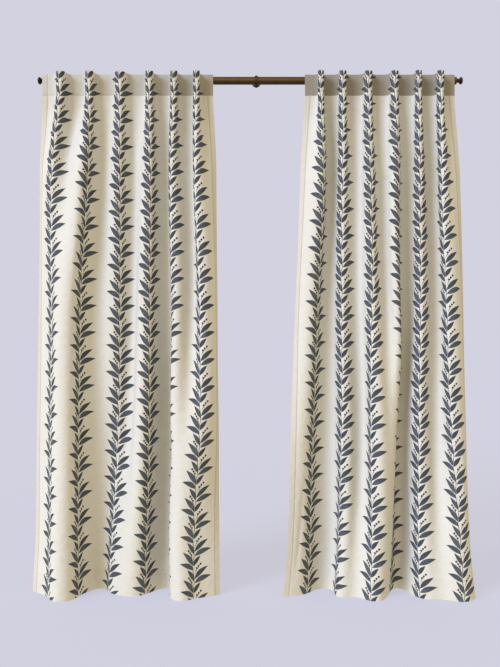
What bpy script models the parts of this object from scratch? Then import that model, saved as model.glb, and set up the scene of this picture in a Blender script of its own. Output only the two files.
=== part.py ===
"""Pair of back-tab curtains hanging on a rod, with its finials and wall brackets.

Units are metres, +Z up, +X to the right, and the room is on the -Y side. The origin is the
centre of the back face of the centre bracket's wall plate.

Each panel is one flat width of cloth. Its shape at a height is a section: a line of equal steps
of cloth, each step turned by an angle. The line never stretches, so the panel keeps its width
from the heading to the hem. In the heading the cloth lies flat on each tab and stands forward in
a loop between two tabs. Below it, the sections in the tables set where the folds run.
"""

import math

import bmesh
import bpy
import numpy as np
from mathutils import Matrix

MM = 0.001
GAP = 0.3 * MM

CLOTH_WIDTH = 1270 * MM
CLOTH_DROP = 2440 * MM
CLOTH_THICK = 2.0 * MM
FACING_DEPTH = 100 * MM
FACING_THICK = 1.5 * MM
TAB_WIDTH = 46 * MM
TAB_THICK = 1.5 * MM
TAB_LEG = 12 * MM
TAB_WRAP = math.radians(230)
TAB_ARC_STEPS = 10
TABS = 7

ROD_RADIUS = 18 * MM
ROD_LEFT = -1007 * MM
ROD_RIGHT = 949 * MM
ROD_SIDES = 32
FINIAL_LENGTH = 31 * MM
FINIAL_SIDES = 24

PROJECTION = 90 * MM
PLATE_RADIUS = 22 * MM
PLATE_THICK = 5 * MM
PLATE_ABOVE_ROD = 20 * MM
ARM_RADIUS = 4.5 * MM
ARM_ABOVE_ROD = 9 * MM
RING_WALL = 3 * MM
RING_WIDTH = 16 * MM
KNOB_RADIUS = 6 * MM
KNOB_LENGTH = 11 * MM
BUTTON_RADIUS = 6.5 * MM
BUTTON_RISE = 3 * MM
BRACKETS = {"left": -915 * MM, "centre": 0.0, "right": 858 * MM}

ROD_Y = -PROJECTION
ROD_Z = -PLATE_ABOVE_ROD
CLOTH_TOP = ROD_Z + ROD_RADIUS + 3 * MM

# The flat width is cut into equal steps. A tab lies on the middle of a run of flat steps, and
# the steps between two such runs make one loop. The printed vines run down the loops.
STEPS = 75
FLAT_STEPS = 3
LOOP_STEPS = 9
STEP = CLOTH_WIDTH / STEPS
TAB_PITCH = (FLAT_STEPS + LOOP_STEPS) * STEP

# Where the tabs hold the heading, in millimetres to the right of the centre bracket.
TAB_CENTRES = {
    "left": (-985, -845, -715, -560, -440, -330, -230),
    "right": (255, 345, 460, 585, 705, 805, 910),
}

# The stations of a section are its two edges, the six vines and the five gaps between vines.
# A row gives, at its drop below the heading, how far right each station lies of the centre
# bracket and how far forward of the heading, both in millimetres.
#   edge, vine 1, gap 1, vine 2, gap 2, vine 3, gap 3, vine 4, gap 4, vine 5, gap 5, vine 6, edge
SECTIONS = {
    "left": (
        {"drop": 490,
         "across": (-1030, -946, -860, -790, -715, -633, -565, -490, -430, -400, -320, -290, -190),
         "forward": (-30, 55, 35, 60, 0, 50, 10, 75, -5, 65, 8, 85, 25)},
        {"drop": 1100,
         "across": (-1040, -952, -884, -825, -730, -632, -568, -495, -436, -393, -326, -268, -185),
         "forward": (-35, 45, 84, 52, 12, 45, 5, 75, -8, 55, 28, 80, 5)},
        {"drop": 1450,
         "across": (-1045, -954, -888, -828, -738, -640, -573, -498, -440, -387, -335, -271, -182),
         "forward": (-42, 46, 98, 50, 10, 40, 10, 75, -12, 38, 62, 90, 12)},
        {"drop": 1750,
         "across": (-1050, -957, -888, -830, -750, -652, -580, -503, -445, -383, -350, -274, -180),
         "forward": (-45, 48, 104, 52, 2, 32, 20, 70, -18, 25, 90, 96, 20)},
        {"drop": 2000,
         "across": (-1050, -957, -892, -830, -752, -670, -592, -508, -450, -394, -374, -284, -175),
         "forward": (-38, 55, 110, 58, -3, 20, 32, 62, -25, 18, 102, 92, 35)},
        {"drop": 2200,
         "across": (-1050, -956, -895, -830, -755, -685, -600, -514, -455, -400, -382, -290, -170),
         "forward": (-30, 60, 115, 65, -5, 10, 40, 50, -35, 12, 108, 85, 40)},
        {"drop": 2440,
         "across": (-1060, -955, -885, -825, -760, -710, -610, -520, -440, -400, -368, -295, -170),
         "forward": (-5, 110, 105, 70, -22, 5, 45, 30, -15, -10, 105, 85, 45)},
    ),
    "right": (
        {"drop": 490,
         "across": (210, 315, 360, 395, 480, 525, 598, 655, 714, 755, 824, 850, 960),
         "forward": (10, 70, -10, 70, 15, 80, 10, 70, -5, 62, -10, 62, -10)},
        {"drop": 1100,
         "across": (185, 285, 353, 395, 483, 535, 608, 655, 714, 756, 830, 875, 975),
         "forward": (15, 70, -5, 70, 20, 90, 24, 88, 5, 70, 3, 64, -15)},
        {"drop": 1450,
         "across": (172, 270, 350, 398, 476, 530, 607, 650, 712, 756, 832, 885, 982),
         "forward": (50, 55, -8, 65, 18, 88, 38, 70, 2, 68, 5, 70, -10)},
        {"drop": 1750,
         "across": (160, 258, 345, 400, 467, 525, 610, 650, 712, 756, 836, 902, 990),
         "forward": (78, 42, -12, 58, 22, 88, 56, 42, -8, 65, 18, 78, -5)},
        {"drop": 2000,
         "across": (152, 254, 340, 395, 460, 524, 612, 650, 714, 756, 840, 915, 993),
         "forward": (83, 36, -20, 46, 34, 93, 70, 14, -12, 68, 44, 92, 0)},
        {"drop": 2200,
         "across": (145, 250, 335, 388, 448, 523, 610, 648, 714, 754, 845, 925, 995),
         "forward": (85, 30, -28, 34, 48, 98, 78, -8, -12, 74, 74, 105, 5)},
        {"drop": 2440,
         "across": (115, 250, 320, 370, 435, 525, 590, 645, 700, 755, 850, 950, 1020),
         "forward": (65, 30, -30, 25, 65, 115, 58, -30, -5, 88, 110, 120, 60)},
    ),
}

# How hard a section is held to its stations, against the stiffness of the cloth.
HOLD_ACROSS = 350.0
HOLD_FORWARD = 120.0
STIFFNESS = 6.0
DAMPING = 0.02
LARGEST_TURN = 0.25
SETTLED = 1e-5
SETTLING_ROUNDS = 60

# Rows of faces between two sections of the table, from the facing's foot to the hem.
FACE_ROWS = (4, 3, 2, 2, 1, 1, 1)

COLOURS = {
    "cloth": (0.80, 0.76, 0.65),
    "facing": (0.76, 0.71, 0.60),
    "bronze": (0.17, 0.11, 0.055),
    "dark bronze": (0.035, 0.027, 0.02),
}


def material(name, roughness, metallic):
    """A Principled material of the named colour."""
    made = bpy.data.materials.new(name)
    made.use_nodes = True
    shader = made.node_tree.nodes["Principled BSDF"]
    shader.inputs["Base Color"].default_value = (*COLOURS[name], 1)
    shader.inputs["Roughness"].default_value = roughness
    shader.inputs["Metallic"].default_value = metallic
    made.diffuse_color = (*COLOURS[name], 1)
    return made


def new_object(name, mesh, finish):
    """Link a mesh to the scene under its node's name."""
    made = bpy.data.objects.new(name, mesh)
    mesh.materials.append(finish)
    bpy.context.collection.objects.link(made)
    return made


# Cloth sections

def loop_turns(chord):
    """Turning angles of a loop whose two feet are a chord apart.

    The angle follows one wave of a sine, so the loop leaves and meets the flat parts without a
    corner. A larger swing of the angle draws the feet closer.
    """
    wave = np.sin(2 * math.pi * (np.arange(LOOP_STEPS) + 0.5) / LOOP_STEPS)
    low, high = 0.0, 2.2
    for _ in range(40):
        swing = (low + high) / 2
        if np.cos(swing * wave).sum() * STEP > chord:
            low = swing
        else:
            high = swing
    return -swing * wave


def heading_section(side):
    """Turning angles and start of the section that the tabs hold."""
    tabs = np.array(TAB_CENTRES[side]) * MM
    flat = FLAT_STEPS * STEP
    turns = [np.zeros(FLAT_STEPS)]
    for pitch in np.diff(tabs):
        turns += [loop_turns(pitch - flat), np.zeros(FLAT_STEPS)]
    return np.concatenate(turns), np.array([tabs[0] - flat / 2, 0.0])


def section_points(turns, start):
    """Corners of a section, as distances across and to the back."""
    steps = np.stack([np.cos(turns), np.sin(turns)], axis=1) * STEP
    return start + np.vstack([np.zeros(2), np.cumsum(steps, axis=0)])


def stations():
    """Places of the edges, vines and gaps along the flat width."""
    first_vine = (FLAT_STEPS + LOOP_STEPS / 2) * STEP
    inner = first_vine + np.arange(2 * TABS - 3) * TAB_PITCH / 2
    return np.concatenate([[0.0], inner, [CLOTH_WIDTH]])


def reach_of_stations():
    """For each station, the share of each step of cloth that lies to its left."""
    along = stations() / STEP
    return np.clip(along[:, None] - np.arange(STEPS), 0, 1)


def station_places(turns, start):
    """Where the stations of a section lie, across and to the back."""
    reach = reach_of_stations() * STEP
    return np.concatenate([start[0] + reach @ np.cos(turns), start[1] + reach @ np.sin(turns)])


def settle(turns, start, places, rest):
    """Turn the steps of cloth until the section lies close to its stations' places.

    Each round solves for the small turns that bring the stations to their places while the cloth
    bends as little as it can away from its rest turns.
    """
    reach = reach_of_stations() * STEP
    count = len(reach)
    bend = STIFFNESS * (np.eye(STEPS - 1, STEPS, 1) - np.eye(STEPS - 1, STEPS))
    hold = np.repeat([HOLD_ACROSS, HOLD_FORWARD], count)
    moved = np.kron(np.eye(2), np.ones((count, 1)))
    for _ in range(SETTLING_ROUNDS):
        miss = np.concatenate([hold * (station_places(turns, start) - places),
                               bend @ (turns - rest)])
        swung = np.vstack([-reach * np.sin(turns), reach * np.cos(turns)])
        slope = np.vstack([hold[:, None] * np.hstack([swung, moved]),
                           np.hstack([bend, np.zeros((STEPS - 1, 2))])])
        damping = DAMPING * np.eye(STEPS + 2)
        change = -np.linalg.solve(slope.T @ slope + damping, slope.T @ miss)
        largest = np.abs(change[:STEPS]).max()
        change *= min(1.0, LARGEST_TURN / max(largest, 1e-9))
        turns = turns + change[:STEPS]
        start = start + change[STEPS:]
        if largest < SETTLED:
            break
    return turns, start


def panel_sections(side):
    """Drops of the known sections of a panel, their turns with start, and their stations."""
    turns, start = heading_section(side)
    drops = [0.0, FACING_DEPTH]
    states = [np.concatenate([turns, start])] * 2
    places = [station_places(turns, start)] * 2
    for row in SECTIONS[side]:
        wanted = np.concatenate([row["across"], -np.array(row["forward"])]) * MM
        turns, start = settle(turns, start, wanted, np.zeros(STEPS))
        drops.append(row["drop"] * MM)
        states.append(np.concatenate([turns, start]))
        places.append(station_places(turns, start))
    return np.array(drops), np.array(states), np.array(places)


def section_at(sections, drop):
    """Turns and start of a panel's section at any drop."""
    drops, states, places = sections
    state = blend(drops, states, drop)
    turns, start = state[:STEPS], state[STEPS:]
    return settle(turns, start, blend(drops, places, drop), turns)


def blend(drops, rows, drop):
    """The section at any drop, on a smooth curve through the known ones that never overshoots."""
    spans = np.diff(drops)[:, None]
    rates = np.diff(rows, axis=0) / spans
    product = rates[:-1] * rates[1:]
    total = rates[:-1] + rates[1:]
    safe = np.where(product > 0, total, 1.0)
    inner = np.where(product > 0, 2 * product / safe, 0.0)
    slopes = np.vstack([rates[:1], inner, rates[-1:]])
    index = int(np.clip(np.searchsorted(drops, drop) - 1, 0, len(drops) - 2))
    span = spans[index]
    t = (drop - drops[index]) / span
    rise = t * t * (3 - 2 * t)
    return (rows[index] * (1 - rise) + rows[index + 1] * rise
            + span * slopes[index] * t * (1 - t) ** 2
            - span * slopes[index + 1] * t * t * (1 - t))


def offset_line(points, distance):
    """Shift a line of points to its left by a distance, with mitred corners."""
    steps = np.diff(points, axis=0)
    steps /= np.linalg.norm(steps, axis=1)[:, None]
    normals = np.column_stack([-steps[:, 1], steps[:, 0]])
    before = np.vstack([normals[:1], normals])
    after = np.vstack([normals, normals[-1:]])
    middle = before + after
    middle /= np.linalg.norm(middle, axis=1)[:, None]
    return points + middle * distance / (middle * before).sum(axis=1)[:, None]


# Cloth solids

def thick_sheet(name, fronts, backs, finish):
    """One closed sheet between two grids of points with the same rows and columns."""
    rows, columns = fronts.shape[:2]
    mesh = bpy.data.meshes.new(name)
    corners = np.concatenate([fronts.reshape(-1, 3), backs.reshape(-1, 3)])
    back = rows * columns
    faces = []
    for row in range(rows - 1):
        for column in range(columns - 1):
            a = row * columns + column
            b, c, d = a + 1, a + columns, a + columns + 1
            faces += [(a, c, d), (a, d, b)]
            faces += [(a + back, d + back, c + back), (a + back, b + back, d + back)]
    rim = list(range(columns))
    rim += [row * columns + columns - 1 for row in range(1, rows)]
    rim += [(rows - 1) * columns + column for column in range(columns - 2, -1, -1)]
    rim += [row * columns for row in range(rows - 2, 0, -1)]
    for a, b in zip(rim, rim[1:] + rim[:1]):
        faces.append((a, b, b + back, a + back))
    mesh.from_pydata(corners.tolist(), [], faces)
    shaped = bmesh.new()
    shaped.from_mesh(mesh)
    bmesh.ops.triangulate(shaped, faces=[face for face in shaped.faces if len(face.verts) > 3])
    bmesh.ops.recalc_face_normals(shaped, faces=shaped.faces)
    shaped.to_mesh(mesh)
    shaped.free()
    made = new_object(name, mesh, finish)
    mesh.shade_smooth()
    mesh.set_sharp_from_angle(angle=math.radians(60))
    return made


def face_drops():
    """Drops of the rows of corners of a panel, close together where the folds change fast."""
    tops = [0.0, FACING_DEPTH] + [row["drop"] * MM for row in SECTIONS["left"]]
    drops = [0.0]
    for top, foot, count in zip(tops[1:], tops[2:], FACE_ROWS):
        drops += [top + (foot - top) * row / count for row in range(count)]
    return drops + [tops[-1]]


def heading_y():
    """Middle of the cloth's thickness where it lies on the tabs."""
    facing_back = tab_radius() + TAB_THICK / 2 + GAP
    return ROD_Y - facing_back - FACING_THICK - GAP - CLOTH_THICK / 2


def sheet_grid(sections, drops, distance):
    """Corners of one face of a sheet that hangs by the sections, set back by a distance."""
    grid = []
    for drop in drops:
        line = offset_line(section_points(*section_at(sections, drop)), distance)
        height = np.full(len(line), CLOTH_TOP - drop)
        grid.append(np.column_stack([line[:, 0], line[:, 1] + heading_y(), height]))
    return np.array(grid)


def panel(side, sections, finish):
    """The face cloth of one curtain, with its side hems and foot hem."""
    drops = face_drops()
    front = sheet_grid(sections, drops, -CLOTH_THICK / 2)
    back = sheet_grid(sections, drops, CLOTH_THICK / 2)
    thick_sheet("panel_" + side, front, back, finish)


def facing(side, sections, finish):
    """The strip behind the heading that the tabs are sewn to."""
    near = CLOTH_THICK / 2 + GAP
    drops = [GAP, FACING_DEPTH - GAP]
    front = sheet_grid(sections, drops, near)
    back = sheet_grid(sections, drops, near + FACING_THICK)
    thick_sheet("facing_" + side, front, back, finish)


def tab_radius():
    """Middle of the tab's thickness, measured from the rod's axis at a corner of its arc."""
    return (ROD_RADIUS + GAP) / math.cos(TAB_WRAP / TAB_ARC_STEPS / 2) + TAB_THICK / 2


def tab_route():
    """Side view of a tab: a leg on the facing, over the rod, and back to a second leg."""
    radius = tab_radius()
    angles = np.linspace(0, TAB_WRAP, TAB_ARC_STEPS + 1)
    arc = np.column_stack([-np.cos(angles), np.sin(angles)]) * radius
    heading = np.array([math.sin(TAB_WRAP), math.cos(TAB_WRAP)])
    run = (arc[-1, 0] + radius) / -heading[0]
    foot = arc[-1] + heading * run
    leg = np.array([0, -TAB_LEG])
    return np.vstack([[arc[0] + leg], arc, [foot], [foot + leg]])


def tab(side, number, centre, finish):
    """A cloth loop that carries the heading on the rod."""
    route = tab_route()
    outer = offset_line(route, TAB_THICK / 2)
    inner = offset_line(route, -TAB_THICK / 2)
    grids = []
    for line in (outer, inner):
        grid = [[(centre + end * TAB_WIDTH / 2, ROD_Y + y, ROD_Z + z) for end in (-1, 1)]
                for y, z in line]
        grids.append(np.array(grid))
    thick_sheet("tab_{}_{}".format(side, number), grids[0], grids[1], finish)


# Hardware

def turned(profile, sides, closed=False):
    """Turn a profile of (along, radius) pairs about +X. Points on the axis become poles."""
    shaped = bmesh.new()
    corners = [shaped.verts.new((along, radius, 0)) for along, radius in profile]
    pairs = list(zip(corners, corners[1:]))
    if closed:
        pairs.append((corners[-1], corners[0]))
    edges = [shaped.edges.new(pair) for pair in pairs]
    bmesh.ops.spin(shaped, geom=corners + edges, cent=(0, 0, 0), axis=(1, 0, 0),
                   angle=2 * math.pi, steps=sides, use_merge=True)
    bmesh.ops.remove_doubles(shaped, verts=shaped.verts, dist=1e-6)
    bmesh.ops.recalc_face_normals(shaped, faces=shaped.faces)
    return shaped


def finished(name, shaped, finish, place=Matrix()):
    """Close a turned shape into an object, moved to its place."""
    bmesh.ops.transform(shaped, matrix=place, verts=shaped.verts)
    bmesh.ops.recalc_face_normals(shaped, faces=shaped.faces)
    mesh = bpy.data.meshes.new(name)
    shaped.to_mesh(mesh)
    shaped.free()
    made = new_object(name, mesh, finish)
    mesh.shade_smooth()
    mesh.set_sharp_from_angle(angle=math.radians(35))
    return made


def rod(finish):
    """The round rod, with its ends just eased."""
    ease = 1 * MM
    profile = [(ROD_LEFT, 0), (ROD_LEFT, ROD_RADIUS - ease), (ROD_LEFT + ease, ROD_RADIUS),
               (ROD_RIGHT - ease, ROD_RADIUS), (ROD_RIGHT, ROD_RADIUS - ease), (ROD_RIGHT, 0)]
    finished("rod", turned(profile, ROD_SIDES), finish, Matrix.Translation((0, ROD_Y, ROD_Z)))


def finial(side, end, way, finish):
    """A turned end: a collar on the rod's end, a waist, and a small round knob."""
    collar, waist, knob = 11.5 * MM, 9 * MM, 17 * MM
    knob_start = 13 * MM
    half = (FINIAL_LENGTH - knob_start) / 2
    profile = [(0, 0), (0, collar), (3.5 * MM, collar), (6 * MM, waist + 0.6 * MM),
               (9 * MM, waist), (12 * MM, waist + 1 * MM)]
    for number in range(1, 10):
        angle = math.pi * number / 9
        along = knob_start + half - half * math.cos(angle)
        profile.append((along, knob * math.sin(angle) ** 0.8 if number < 9 else 0))
    place = Matrix.Translation((end + way * GAP, ROD_Y, ROD_Z))
    if way < 0:
        place = place @ Matrix.Rotation(math.pi, 4, "Z")
    finished("finial_" + side, turned(profile, FINIAL_SIDES), finish, place)


def helper(name, shaped, finish, place):
    """A shape that a Boolean uses and the build leaves out."""
    made = finished(name, shaped, finish, place)
    made.hide_render = True
    made.display_type = "WIRE"
    return made


def combine(target, other, operation):
    """Join or cut a bracket with a helper shape."""
    step = target.modifiers.new(other.name, "BOOLEAN")
    step.operation = operation
    step.solver = "EXACT"
    step.object = other


def bracket(side, across, finish):
    """A round wall plate, an arm and a ring that the rod passes through, in one casting."""
    along_y = Matrix.Rotation(-math.pi / 2, 4, "Z")
    along_z = Matrix.Rotation(-math.pi / 2, 4, "Y")
    ring_radius = ROD_RADIUS + 2 * GAP + RING_WALL
    ease = 2 * MM
    plate_profile = [(0, 0), (0, PLATE_RADIUS), (PLATE_THICK - ease, PLATE_RADIUS),
                     (PLATE_THICK, PLATE_RADIUS - 1.5 * ease), (PLATE_THICK, 0)]
    made = finished("bracket_" + side, turned(plate_profile, ROD_SIDES), finish,
                    Matrix.Translation((across, 0, 0)) @ along_y)
    arm_start = PLATE_THICK / 2
    arm = turned([(arm_start, 0), (arm_start, ARM_RADIUS), (PROJECTION, ARM_RADIUS),
                  (PROJECTION, 0)], 16)
    arm_place = Matrix.Translation((across, 0, ROD_Z + ARM_ABOVE_ROD)) @ along_y
    half = RING_WIDTH / 2
    ring = turned([(-half, 0), (-half, ring_radius), (half, ring_radius), (half, 0)], ROD_SIDES)
    ring_place = Matrix.Translation((across, ROD_Y, ROD_Z))
    top = ring_radius + BUTTON_RISE
    button = turned([(ROD_RADIUS + 1 * MM, 0), (ROD_RADIUS + 1 * MM, BUTTON_RADIUS),
                     (ring_radius + 0.5 * MM, BUTTON_RADIUS), (top - 0.7 * MM, BUTTON_RADIUS * 0.7),
                     (top, 0)], 12)
    bore_half = RING_WIDTH
    bore_radius = ROD_RADIUS + 2 * GAP
    bore = turned([(-bore_half, 0), (-bore_half, bore_radius), (bore_half, bore_radius),
                   (bore_half, 0)], ROD_SIDES)
    combine(made, helper("arm_" + side, arm, finish, arm_place), "UNION")
    combine(made, helper("ring_" + side, ring, finish, ring_place), "UNION")
    combine(made, helper("button_" + side, button, finish, ring_place @ along_z), "UNION")
    combine(made, helper("bore_" + side, bore, finish, ring_place), "DIFFERENCE")


def thumb_screw(side, across, finish):
    """The round-headed screw under the ring that pinches the rod."""
    ring_radius = ROD_RADIUS + 2 * GAP + RING_WALL
    neck = KNOB_RADIUS * 0.6
    start = ring_radius + GAP
    profile = [(start, 0), (start, neck), (start + 3 * MM, neck), (start + 3 * MM, KNOB_RADIUS),
               (start + KNOB_LENGTH - 2 * MM, KNOB_RADIUS),
               (start + KNOB_LENGTH, KNOB_RADIUS * 0.6), (start + KNOB_LENGTH, 0)]
    down = Matrix.Rotation(math.pi / 2, 4, "Y")
    place = Matrix.Translation((across, ROD_Y, ROD_Z)) @ down
    finished("screw_" + side, turned(profile, 16), finish, place)


def build():
    """Clear the scene and make every piece."""
    for old in list(bpy.data.objects):
        bpy.data.objects.remove(old)
    cloth = material("cloth", 0.9, 0.0)
    lining = material("facing", 0.9, 0.0)
    bronze = material("bronze", 0.38, 0.9)
    dark = material("dark bronze", 0.45, 0.9)
    for side in ("left", "right"):
        sections = panel_sections(side)
        panel(side, sections, cloth)
        facing(side, sections, lining)
        for number, centre in enumerate(TAB_CENTRES[side], 1):
            tab(side, number, centre * MM, lining)
    rod(bronze)
    finial("left", ROD_LEFT, -1, dark)
    finial("right", ROD_RIGHT, 1, dark)
    for side, across in BRACKETS.items():
        bracket(side, across, bronze)
        thumb_screw(side, across, dark)


build()
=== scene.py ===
"""Looks of a pair of printed back-tab curtains on a bronze rod.

The script is laid out as an add-on. Run as a script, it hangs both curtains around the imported
frame, finishes the rod and its fittings, and sets the floor, the lights and the camera.
"""

import math

import bpy
import numpy as np
from bpy.props import FloatProperty, FloatVectorProperty, IntProperty, PointerProperty
from bpy.types import Operator, Panel, PropertyGroup
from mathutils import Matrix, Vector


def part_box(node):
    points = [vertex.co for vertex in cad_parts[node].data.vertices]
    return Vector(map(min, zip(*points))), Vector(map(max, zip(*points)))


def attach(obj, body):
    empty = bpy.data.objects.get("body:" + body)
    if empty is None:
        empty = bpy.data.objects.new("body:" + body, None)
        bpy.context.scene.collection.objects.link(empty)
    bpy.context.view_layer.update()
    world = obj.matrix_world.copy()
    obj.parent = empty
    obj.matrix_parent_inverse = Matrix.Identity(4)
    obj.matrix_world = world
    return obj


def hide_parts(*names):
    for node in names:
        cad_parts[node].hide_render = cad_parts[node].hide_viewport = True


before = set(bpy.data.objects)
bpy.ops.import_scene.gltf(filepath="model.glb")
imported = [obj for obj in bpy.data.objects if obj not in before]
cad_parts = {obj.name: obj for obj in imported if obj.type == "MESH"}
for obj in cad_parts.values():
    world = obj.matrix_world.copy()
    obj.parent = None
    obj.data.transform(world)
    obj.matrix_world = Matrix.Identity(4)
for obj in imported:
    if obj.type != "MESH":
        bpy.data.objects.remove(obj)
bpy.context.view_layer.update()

bl_info = {
    "name": "Printed curtains on a rod",
    "version": (1, 0, 0),
    "blender": (4, 5, 0),
    "location": "3D View > Sidebar > Curtains",
    "description": "Hangs a pair of printed back-tab curtains and finishes their rod",
    "category": "Object",
}

MM = 0.001
SIDES = ("left", "right")
ROD_LOW, ROD_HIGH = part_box("rod")
ROD_AXIS = (ROD_LOW + ROD_HIGH) / 2
ROD_RADIUS = (ROD_HIGH.z - ROD_LOW.z) / 2
CLOTH_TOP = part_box("panel_left")[1].z
CLOTH_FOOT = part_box("panel_left")[0].z
FACING_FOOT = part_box("facing_left")[0].z
TAB_LOW, TAB_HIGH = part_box("tab_left_1")
BRACKET_NAMES = ("left", "centre", "right")

# Thicknesses of the solids that the cloth stands for, and the gap between them.
PANEL_SOLID = 2.0 * MM
FACING_SOLID = 1.5 * MM
TAB_SOLID = 1.5 * MM
SOLID_GAP = 0.3 * MM

HEADING_DEPTH = 100 * MM
FIRST_VINE = 127 * MM

# The print stops short of the side edges. A leaf has a dark rim and midrib, is palest near its
# foot, and leaves a gap round itself where it lies over another leaf.
PRINT_MARGIN = 22 * MM
PRINT_EDGE = 0.9 * MM
LEAF_GAP = 1.5 * MM
LEAF_RIM = 1.7 * MM
LEAF_RIM_EDGE = 3 * MM
MIDRIB = 0.5 * MM
MIDRIB_EDGE = 0.8 * MM
PALE_AT_FOOT = 1.15
PALE_LOST_AT_TIP = 0.5

# The weave: the pitch of its threads, and how fine its slubs, patches and rumples are, as noise
# scales to the metre. The stretch makes a slub longer along its thread.
THREAD_PITCH = 0.9 * MM
SLUB_SCALE = 420.0
SLUB_STRETCH = 0.06
PATCH_SCALE = 9.0
RUMPLE_SCALE = 38.0

# Half the width of a stitched line and of the softer dip beside a side hem, and how far the
# facing's stitches lie above its foot. The lines and the dip are bumped, and their colour is
# darkened with painted shade.
STITCH = 0.9 * MM
STITCH_EDGE = 1.2 * MM
HEM_DIP_AND_SHADE = 2.4 * MM
HEM_DIP_AND_SHADE_EDGE = 4 * MM
STITCH_ABOVE_FOOT = 3 * MM

# The heading takes painted shade where it lies double on the tabs, in the recesses between the
# loops, and not on the loops: it stands for the shade there and for the light that passes less
# through the double cloth. On the left panel the painted shade grows from left to right.
LOOP_HALF = 44 * MM
LOOP_EDGE = 24 * MM
LOOP_SHADE = 0.08
SHADE_AT_LEFT = 0.18
SHADE_GROWTH = 0.75

# The bronze: how fine its brushing, clouds and specks are, as noise scales to the metre, and how
# the brushing is drawn out along the rod.
BRUSH_SCALE = 14.0
BRUSH_STRETCH = (2, 60, 60)
CLOUD_SCALE = 26.0
SPECK_SCALE = 420.0

SAME_PLACE = 1e-6
FLOOR_SIZE = 80.0
FLOOR_GAP = 0.5 * MM

# The flat width is cut into equal steps. A tab lies on the middle of a run of flat steps, and
# the steps between two such runs make one loop of the heading. The folds are settled with these
# steps, and the cloth is then divided finer.
STEPS = 75
FINER = 3
FLAT_STEPS = 3
LOOP_STEPS = 9
TABS = 7

# The folds, as in the solids. The stations of a section are its two edges, the six vines and the
# five gaps between them. A row gives how far right of the centre bracket and how far forward of
# the heading they lie, at its drop below the heading, all in millimetres. The cloth is drawn
# towards these places and may lie a few centimetres off them.
#   edge, vine 1, gap 1, vine 2, gap 2, vine 3, gap 3, vine 4, gap 4, vine 5, gap 5, vine 6, edge
SECTIONS = {
    "left": (
        {"drop": 490,
         "across": (-1030, -946, -860, -790, -715, -633, -565, -490, -430, -400, -320, -290, -190),
         "forward": (-30, 55, 35, 60, 0, 50, 10, 75, -5, 65, 8, 85, 25)},
        {"drop": 1100,
         "across": (-1040, -952, -884, -825, -730, -632, -568, -495, -436, -393, -326, -268, -185),
         "forward": (-35, 45, 84, 52, 12, 45, 5, 75, -8, 55, 28, 80, 5)},
        {"drop": 1450,
         "across": (-1045, -954, -888, -828, -738, -640, -573, -498, -440, -387, -335, -271, -182),
         "forward": (-42, 46, 98, 50, 10, 40, 10, 75, -12, 38, 62, 90, 12)},
        {"drop": 1750,
         "across": (-1050, -957, -888, -830, -750, -652, -580, -503, -445, -383, -350, -274, -180),
         "forward": (-45, 48, 104, 52, 2, 32, 20, 70, -18, 25, 90, 96, 20)},
        {"drop": 2000,
         "across": (-1050, -957, -892, -830, -752, -670, -592, -508, -450, -394, -374, -284, -175),
         "forward": (-38, 55, 110, 58, -3, 20, 32, 62, -25, 18, 102, 92, 35)},
        {"drop": 2200,
         "across": (-1050, -956, -895, -830, -755, -685, -600, -514, -455, -400, -382, -290, -170),
         "forward": (-30, 60, 115, 65, -5, 10, 40, 50, -35, 12, 108, 85, 40)},
        {"drop": 2440,
         "across": (-1060, -955, -885, -825, -760, -710, -610, -520, -440, -400, -368, -295, -170),
         "forward": (-5, 110, 105, 70, -22, 5, 45, 30, -15, -10, 105, 85, 45)},
    ),
    "right": (
        {"drop": 490,
         "across": (210, 315, 360, 395, 480, 525, 598, 655, 714, 755, 824, 850, 960),
         "forward": (10, 70, -10, 70, 15, 80, 10, 70, -5, 62, -10, 62, -10)},
        {"drop": 1100,
         "across": (185, 285, 353, 395, 483, 535, 608, 655, 714, 756, 830, 875, 975),
         "forward": (15, 70, -5, 70, 20, 90, 24, 88, 5, 70, 3, 64, -15)},
        {"drop": 1450,
         "across": (172, 270, 350, 398, 476, 530, 607, 650, 712, 756, 832, 885, 982),
         "forward": (50, 55, -8, 65, 18, 88, 38, 70, 2, 68, 5, 70, -10)},
        {"drop": 1750,
         "across": (160, 258, 345, 400, 467, 525, 610, 650, 712, 756, 836, 902, 990),
         "forward": (78, 42, -12, 58, 22, 88, 56, 42, -8, 65, 18, 78, -5)},
        {"drop": 2000,
         "across": (152, 254, 340, 395, 460, 524, 612, 650, 714, 756, 840, 915, 993),
         "forward": (83, 36, -20, 46, 34, 93, 70, 14, -12, 68, 44, 92, 0)},
        {"drop": 2200,
         "across": (145, 250, 335, 388, 448, 523, 610, 648, 714, 754, 845, 925, 995),
         "forward": (85, 30, -28, 34, 48, 98, 78, -8, -12, 74, 74, 105, 5)},
        {"drop": 2440,
         "across": (115, 250, 320, 370, 435, 525, 590, 645, 700, 755, 850, 950, 1020),
         "forward": (65, 30, -30, 25, 65, 115, 58, -30, -5, 88, 110, 120, 60)},
    ),
}

# A loop's swing is found between zero and the largest, by halving.
LARGEST_SWING = 2.2
SWING_HALVINGS = 40

# How hard a section is held to its stations, against the stiffness of the cloth across and down.
HOLD_ACROSS = 350.0
HOLD_FORWARD = 120.0
STIFFNESS = 6.0
FOLLOW = 16.0
ROW_STEP = 0.09
DAMPING = 0.02
LARGEST_TURN = 0.25
SETTLED = 1e-4
SETTLING_ROUNDS = 200
FINER_ROUNDS = 4

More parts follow.
